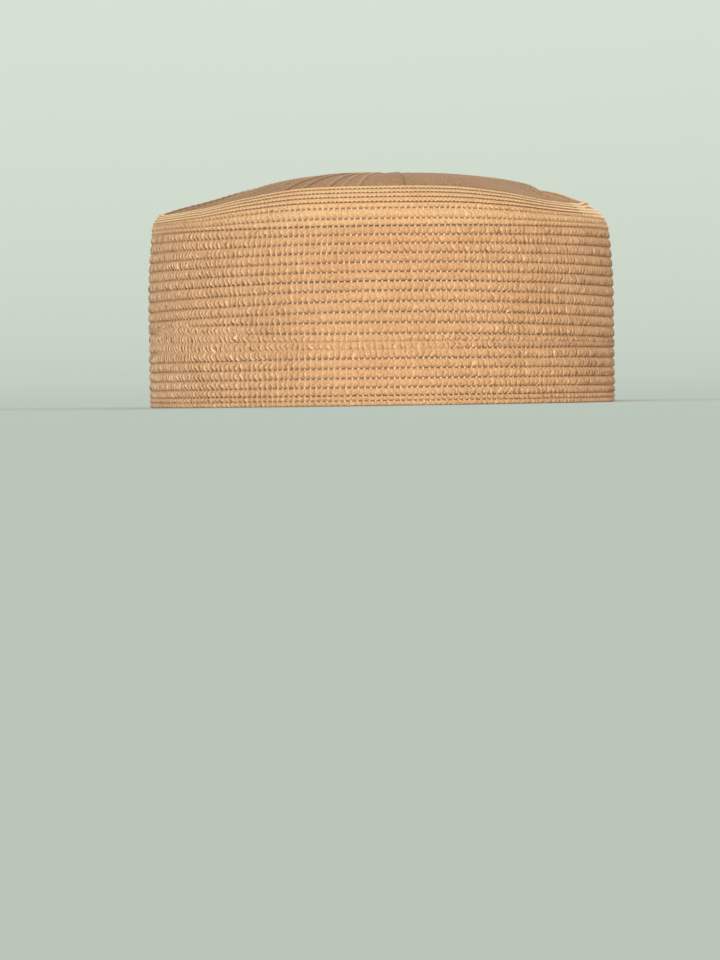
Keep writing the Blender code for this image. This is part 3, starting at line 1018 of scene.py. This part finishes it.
def inner_ring(name, first, last, material, slot, node):
    """Backs of the rows from one cord to the next, inside the cap."""
    lines = []
    for number in range(first, last):
        cord = CORDS[number]
        for share in ACROSS_INNER_RIB:
            rise = 0.0 if share == 0.0 else INNER_RIB
            lines.append((cord.start + (cord.end - cord.start) * share, INNER_GROOVE_DEPTH + rise))
    top = CORDS[last - 1].end
    lines.append((top, INNER_GROOVE_DEPTH))
    behind = np.linspace(top, CORDS[first].start, INNER_LINES_BEHIND)
    lines += [(row, INNER_BACK_DEPTH) for row in behind] + [lines[0]]
    data, column, line = strip_of_cloth(INNER_COLUMNS, len(lines))
    azimuth = column / INNER_COLUMNS * TURN
    row = np.array([entry[0] for entry in lines])[line]
    depth = np.array([entry[1] for entry in lines])[line]
    ribbed = depth > WALL_THICKNESS
    depth = depth + np.where(ribbed, INNER_PUCKER * np.cos(azimuth * STITCHES_ROUND), 0.0)
    mask = np.where(depth < WALL_THICKNESS, INNER_SHADE, 0.0)
    points = place(azimuth, row, depth)
    stitches = np.stack((azimuth / TURN * STITCHES_ROUND, row), axis=-1)
    creased = np.full_like(mask, INNER_CREASED)
    ring = sew_up(name, data, points, cloth_place(azimuth, row), stitches, mask, creased, material)
    dress(ring, slot, node)


def rim_edge(azimuth, depth):
    return place(azimuth, np.full_like(azimuth, float(RIM_TOP_ROW)), depth, SEAM_GAP)


# Tucks of the crown that the front shows, in degrees to the right of its middle; the others are evenly spaced
FRONT_TUCKS_DEGREES = (-23.9, -18.4, -11.4, -7.5, -3.4, 8.1, 14.0, 19.5, 27.0, 35.0, 43.0)
OTHER_TUCKS = 39
TUCK_HEIGHT = 0.0006
TUCK_DROP_DEGREES = 0.6
TUCK_LINE_DEGREES = 0.32
SMOOTH_STRETCHES = ((-134.0, 21.0), (-52.0, 28.0))
UNSTITCHED_STRETCH = (-64.0, 20.0)
TUCK_STRAY = 0.18
TUCK_STRENGTHS = (0.6, 1.2)
PRESSED_SHARE = 0.8
PRESSED_TAPER_DEGREES = 5.0
TUCK_MEAN_LIFT = 0.4
TUCK_START_REACH = 0.25
TUCK_LINE_REACH = 0.3
EDGE_REACH = 0.9
EDGE_PRESSED_SHARE = 0.35


def tuck_azimuths():
    front = [math.radians(FRONT_DEGREES + degrees) for degrees in FRONT_TUCKS_DEGREES]
    gap = (front[0] + TURN - front[-1]) / (OTHER_TUCKS + 1)
    chance = np.random.default_rng(SEED + TUCK_PLACE_KEY)
    stray = chance.uniform(-TUCK_STRAY, TUCK_STRAY, OTHER_TUCKS)
    others = front[-1] + gap * (np.arange(OTHER_TUCKS) + 1.0 + stray)
    return np.sort(np.concatenate((front, others)) % TURN)


def tuck_strengths(tucks):
    """Each tuck's own strength; those in the smooth stretches of the front are pressed nearly flat."""
    strengths = np.random.default_rng(SEED + TUCK_STRENGTH_KEY).uniform(*TUCK_STRENGTHS, len(tucks))
    for middle, reach in SMOOTH_STRETCHES:
        away = np.abs(degrees_from(tucks, middle))
        strengths *= 1.0 - PRESSED_SHARE * smooth_step((reach - away) / PRESSED_TAPER_DEGREES)
    return strengths


def tuck_lift(azimuth, reach):
    """Lift of the folded cloth and the line of painted shade along its fold; it climbs over a tuck and drops
    at the next.
    """
    tucks = tuck_azimuths()
    strengths = tuck_strengths(tucks)
    azimuth = azimuth % TURN
    after = np.searchsorted(tucks, azimuth, side="right")
    start = tucks[after - 1]
    end = tucks[after % len(tucks)]
    span = (end - start) % TURN
    share = ((azimuth - start) % TURN) / span
    left_over = np.degrees(span * (1.0 - share))
    here = strengths[after % len(tucks)]
    drop = smooth_step(left_over / TUCK_DROP_DEGREES)
    pressed = EDGE_PRESSED_SHARE * smooth_step((reach - EDGE_REACH) / (1.0 - EDGE_REACH))
    fade = smooth_step(reach / TUCK_START_REACH) * (1.0 - pressed)
    lift = TUCK_HEIGHT * here * (smooth_step(share) * drop - TUCK_MEAN_LIFT) * fade
    line = np.exp(-((left_over / TUCK_LINE_DEGREES) ** 2)) * np.clip(here, 0.0, 1.0)
    return lift, line * smooth_step(reach / TUCK_LINE_REACH)


# How the crown falls off towards its edge: a round dome that dips before it meets the rim
FallOff = namedtuple("FallOff", "power dip dip_start")
RIGHT_FALL = FallOff(2.9, 0.22, 0.70)
LEFT_FALL = FallOff(2.2, 0.05, 0.60)
FRONT_FALL = FallOff(3.6, 0.0, 0.70)
FRONT_START = 0.3
FRONT_BLEND = 0.6

# At the right of the back the crown is sewn in lower, so the rim's own edge shows behind it
LOW_SEAM_DEGREES = 42.0
LOW_SEAM_REACH_DEGREES = 50.0
LOW_SEAM_ROW = 24.4
LOW_SEAM_DEPTH = 0.0024
LOW_SEAM_STEEPNESS = 1.6


def crown_fall(azimuth, reach):
    """Share of the crown's height that is lost at a reach, 0 at its middle and 1 at its edge."""
    right = 0.5 + 0.5 * np.cos(azimuth)
    front = smooth_step((-np.sin(azimuth) - FRONT_START) / FRONT_BLEND)
    sides = (left + (there - left) * right for left, there in zip(LEFT_FALL, RIGHT_FALL))
    power, dip, start = (side + (ahead - side) * front for side, ahead in zip(sides, FRONT_FALL))
    window = np.clip((reach - start) / (1.0 - start), 0.0, 1.0)
    return reach**power + dip * np.sin(math.pi * window) ** 2


def crown_seam(azimuth):
    """Where the crown is sewn to the rim: on its upper edge, or lower on its inner side."""
    upper = rim_edge(azimuth, CROWN_SEAT_DEPTH)
    lower = place(azimuth, np.full_like(azimuth, LOW_SEAM_ROW), LOW_SEAM_DEPTH)
    away = np.abs(degrees_from(azimuth, LOW_SEAM_DEGREES)) / LOW_SEAM_REACH_DEGREES
    share = smooth_step(LOW_SEAM_STEEPNESS * (1.0 - away))[:, None]
    return upper + (lower - upper) * share


def crown_points(azimuth, reach, depth, lift):
    """Points of the crown, from its middle at reach 0 to its sewn edge at reach 1."""
    middle = np.array((CROWN_MIDDLE_SHIFT, 0.0, CROWN_TOP_HEIGHT))
    edge = crown_seam(azimuth)
    points = middle + (edge - middle) * reach[:, None]
    points[:, 2] = middle[2] - (middle[2] - edge[:, 2]) * crown_fall(azimuth, reach) - depth + lift
    return points


# The crown cloth as a strip that runs out over its upper side and back in under it
CROWN_COLUMNS = 1440
CROWN_LINES_OVER = 21
CROWN_LINES_UNDER = 6
UNDERSIDE_SHARE = 0.3
FOLD_SHADE = 0.85
PATTERN_SHIFT = 0.2
CROWN_PATTERN_ROWS = 3.0


def crown_cloth(material):
    over = np.linspace(0.0, 1.0, CROWN_LINES_OVER)
    under = np.linspace(1.0, 0.0, CROWN_LINES_UNDER)
    reaches = np.concatenate((over, under))
    data, column, line = strip_of_cloth(CROWN_COLUMNS, len(reaches))
    azimuth = column / CROWN_COLUMNS * TURN
    reach = reaches[line]
    below = line >= len(over)
    lift, fold = tuck_lift(azimuth, reach)
    lift = np.where(below, UNDERSIDE_SHARE * lift, lift)
    points = crown_points(azimuth, reach, np.where(below, CROWN_THICKNESS, 0.0), lift)
    cloth = points[:, :2] + PATTERN_SHIFT
    stitches = np.stack((azimuth / TURN * STITCHES_ROUND, reach * CROWN_PATTERN_ROWS), axis=-1)
    creased = np.zeros_like(fold)
    # The fold line goes in as painted shade in the groove mask
    piece = sew_up("crown_cloth", data, points, cloth, stitches, FOLD_SHADE * fold, creased, material)
    dress(piece, "crown_cloth", "crown_panel")


# Stitches of the crown: where they run from and to, how far apart and beside the fold, and their size
CROWN_STITCH_START = 0.42
CROWN_STITCH_END = 0.99
CROWN_STITCH_PITCH = 0.027
FOLD_TO_STITCH_DEGREES = 1.1
CROWN_STITCH_LIFT = 0.0001
CROWN_STITCH_LENGTH = 0.0010
CROWN_STITCH_WIDTH = 0.00045
CROWN_STITCH_THICKNESS = 0.0003
STEP_INWARDS = 0.01


def crown_stitches(material):
    """Stitches that hold each tuck down, along the high side of its fold."""
    tucks = tuck_azimuths()
    middle, width = UNSTITCHED_STRETCH
    tucks = tucks[np.abs(degrees_from(tucks, middle)) > width]
    reach = np.arange(CROWN_STITCH_START, CROWN_STITCH_END, CROWN_STITCH_PITCH)
    azimuth = np.repeat(tucks - math.radians(FOLD_TO_STITCH_DEGREES), len(reach))
    reach = np.tile(reach, len(tucks))
    lift = tuck_lift(azimuth, reach)[0] + CROWN_STITCH_LIFT
    flat = np.zeros_like(reach)
    middles = crown_points(azimuth, reach, flat, lift)
    inner = crown_points(azimuth, reach - STEP_INWARDS, flat, lift)
    lengthwise = unit(inner - middles)
    outwards = np.tile((0.0, 0.0, 1.0), (len(reach), 1))
    sideways = unit(np.cross(outwards, lengthwise))
    outwards = np.cross(lengthwise, sideways)
    piece = sew_stitches(
        "crown_stitches",
        middles,
        lengthwise * CROWN_STITCH_LENGTH,
        sideways * CROWN_STITCH_WIDTH,
        outwards * CROWN_STITCH_THICKNESS,
        material,
    )
    dress(piece, "crown_cloth")


SIDE_THREADS = (ThreadRun(0.0005, 0.0004, 0.00125, 0.0008, 0.0007, 18.0, 0.0, 0.0),)
LOOSE_THREADS = (ThreadRun(0.0001, 0.0, 0.002, 0.00045, 0.00035, 8.0, 0.0, 0.0),)
WIDE_RIM_THREADS = (ThreadRun(0.0004, 0.0, 0.0012, 0.0007, 0.0006, 28.0, 0.0, 0.0),)
ARCH_THREADS = (
    ThreadRun(0.0, 0.0, 0.0013, 0.00048, 0.0005, 46.0, 0.24, 0.0004),
    ThreadRun(0.0, 0.0, 0.0013, 0.00048, 0.0005, -46.0, 0.76, 0.0004),
)
FOLD_THREADS = (ThreadRun(-0.0001, 0.0, 0.0024, 0.0005, 0.0005, 40.0, 0.0, 0.0008),)
FOLD_STITCHES_DEGREES = 11.0
HEM_THREADS = (ThreadRun(0.00025, 0.0003, 0.0013, 0.00055, 0.0005, -42.0, 0.0, 0.0),)
INNER_THREADS = (ThreadRun(WALL_THICKNESS - 0.0001, 0.0, 0.00055, 0.0013, 0.0004, 0.0, 0.0, 0.0),)


def all_stitches(pale, rim, golden):
    side = range(FIRST_SIDE_CORD + 1, FIRST_RIM_CORD)
    dress(stitch_piece("side_stitches", side, SIDE_THREADS, pale), "side_cloth")
    loose = [FIRST_SIDE_CORD + stretch.row for stretch in LOOSE_STRETCHES]
    dress(stitch_piece("loose_stitches", loose, LOOSE_THREADS, golden, loose=True), "side_cloth")
    wide_rim = range(FIRST_RIM_CORD, FIRST_ZIGZAG)
    dress(stitch_piece("wide_rim_stitches", wide_rim, WIDE_RIM_THREADS, pale), "rim_cloth")
    narrow_rim = range(FIRST_ZIGZAG, len(CORDS))
    dress(stitch_piece("rim_arches", narrow_rim, ARCH_THREADS, rim, ARCH_STITCH), "rim_cloth")
    folded = range(FIRST_RIM_CORD + 2, len(CORDS))
    fold = stitch_piece("fold_stitches", folded, FOLD_THREADS, rim, FOLD_STITCH, fold=LIPS[0])
    dress(fold, "rim_cloth")
    hem = range(1, FIRST_SIDE_CORD + 1)
    dress(stitch_piece("hem_stitches", hem, HEM_THREADS, pale), "hem_cloth")
    inner = range(FIRST_SIDE_CORD, len(CORDS))
    dress(stitch_piece("inner_stitches", inner, INNER_THREADS, golden, FLAT_STITCH), "side_cloth")


# Stage: a floor and a round backdrop that runs up from it, both of pale paper
STAGE_COLOUR = (0.6, 0.68, 0.63)
STAGE_RADIUS = 5.0
STAGE_BEND = 2.0
STAGE_HEIGHT = 6.0
STAGE_BEND_STEPS = 12
STAGE_SIDES = 72


def stage():
    """Floor that curves up into a backdrop all round; it takes shadows but keeps no light off the cap."""
    mesh = bmesh.new()
    section = [Vector((0.0, 0.0, 0.0)), Vector((STAGE_RADIUS - STAGE_BEND, 0.0, 0.0))]
    for step in range(1, STAGE_BEND_STEPS + 1):
        angle = math.pi / 2.0 * step / STAGE_BEND_STEPS
        out = STAGE_RADIUS - STAGE_BEND + STAGE_BEND * math.sin(angle)
        section.append(Vector((out, 0.0, STAGE_BEND * (1.0 - math.cos(angle)))))
    section.append(Vector((STAGE_RADIUS, 0.0, STAGE_HEIGHT)))
    points = [mesh.verts.new(point) for point in section]
    edges = [mesh.edges.new(pair) for pair in zip(points, points[1:])]
    bmesh.ops.spin(
        mesh,
        geom=points + edges,
        cent=(0.0, 0.0, 0.0),
        axis=(0.0, 0.0, 1.0),
        angle=TURN,
        steps=STAGE_SIDES,
        use_merge=True,
    )
    bmesh.ops.remove_doubles(mesh, verts=mesh.verts, dist=MERGE_DISTANCE)
    bmesh.ops.recalc_face_normals(mesh, faces=mesh.faces)
    mesh.normal_update()
    lowest = min(mesh.faces, key=lambda face: face.calc_center_median().z)
    if lowest.normal.z < 0.0:
        bmesh.ops.reverse_faces(mesh, faces=mesh.faces)
    data = bpy.data.meshes.new("paper_stage")
    mesh.to_mesh(data)
    mesh.free()
    paper = finish_piece("paper_stage", data, stage_material("pale paper", STAGE_COLOUR))
    paper.visible_diffuse = False
    paper.visible_glossy = False
    paper.visible_shadow = False


# Suns by where they come from, how wide they are in degrees, their power and colour
Sun = namedtuple("Sun", "name direction spread_degrees power colour")
SUNS = (
    Sun("key", (-0.15, -1.0, 0.42), 16.0, 1.8, (1.0, 0.96, 0.9)),
    Sun("right", (1.0, -0.5, 0.35), 24.0, 0.85, (1.0, 0.87, 0.68)),
    Sun("left", (-0.8, -0.72, 0.42), 24.0, 0.46, (0.98, 0.97, 0.98)),
    Sun("back fill", (0.3, 1.0, 0.7), 30.0, 0.6, (1.0, 0.97, 0.93)),
)
STUDIO_COLOUR = (0.9, 0.95, 0.92)
STUDIO_STRENGTH = 0.42


def lights():
    world = bpy.data.worlds.new("studio")
    world.use_nodes = True
    background = world.node_tree.nodes["Background"]
    set_inputs(background, {"Color": (*STUDIO_COLOUR, 1.0), "Strength": STUDIO_STRENGTH})
    bpy.context.scene.world = world
    for sun in SUNS:
        data = bpy.data.lights.new(sun.name, "SUN")
        data.angle = math.radians(sun.spread_degrees)
        data.energy = sun.power
        data.color = sun.colour
        lamp = bpy.data.objects.new(sun.name, data)
        lamp.rotation_mode = "QUATERNION"
        lamp.rotation_quaternion = (-Vector(sun.direction)).to_track_quat("-Z", "Y")
        bpy.context.scene.collection.objects.link(lamp)


# Camera: far off and level with the hem, as the picture was taken with a long lens
IMAGE_WIDTH = 720.0
IMAGE_HEIGHT = 960.0
SENSOR = 36.0
FOCAL_PIXELS = 4920.0
CAMERA_DISTANCE = 1.95
CAMERA_HEIGHT = 0.007
AXIS_PIXEL = 383.5
HORIZON_PIXEL = 387.5
ROLL_DEGREES = 0.8
NEAREST_SEEN = 0.01
FARTHEST_SEEN = 40.0


def camera():
    data = bpy.data.cameras.new("camera")
    data.sensor_width = SENSOR
    data.lens = FOCAL_PIXELS * SENSOR / max(IMAGE_WIDTH, IMAGE_HEIGHT)
    data.clip_start = NEAREST_SEEN
    data.clip_end = FARTHEST_SEEN
    eye = bpy.data.objects.new("camera", data)
    bpy.context.scene.collection.objects.link(eye)
    down = math.atan((IMAGE_HEIGHT / 2.0 - HORIZON_PIXEL) / FOCAL_PIXELS)
    left = math.atan((AXIS_PIXEL - IMAGE_WIDTH / 2.0) / FOCAL_PIXELS)
    level = Matrix.Rotation(left, 4, "Z") @ Matrix.Rotation(math.pi / 2.0 - down, 4, "X")
    turned = level @ Matrix.Rotation(math.radians(-ROLL_DEGREES), 4, "Z")
    eye.matrix_world = Matrix.Translation((0.0, -CAMERA_DISTANCE, CAMERA_HEIGHT)) @ turned
    bpy.context.scene.camera = eye


def build_cap():
    cotton = quilted_cotton_group()
    thread = sewing_thread_group()
    gold = cloth_material("golden cloth", cotton, SIDE_COTTON, GOLDEN_SHEEN)
    rim_gold = cloth_material("rim cloth", cotton, RIM_COTTON, GOLDEN_SHEEN)
    brown = cloth_material("crown cloth", cotton, CROWN_COTTON, BROWN_SHEEN)
    pale_thread = thread_material("pale thread", thread, PALE_THREAD)
    rim_thread = thread_material("rim thread", thread, RIM_THREAD)
    golden_thread = thread_material("golden thread", thread, GOLDEN_THREAD)
    brown_thread = thread_material("brown thread", thread, BROWN_THREAD)
    hem_rows(gold)
    side_rows(gold)
    rim_rows(rim_gold)
    inner_ring("side_rows_inside", FIRST_SIDE_CORD, FIRST_RIM_CORD, gold, "side_cloth", "side_band")
    inner_ring("rim_rows_inside", FIRST_RIM_CORD, len(CORDS), rim_gold, "rim_cloth", "rim_cords")
    crown_cloth(brown)
    crown_stitches(brown_thread)
    all_stitches(pale_thread, rim_thread, golden_thread)


build_cap()
stage()
lights()
camera()
bpy.context.scene.view_settings.view_transform = "Standard"
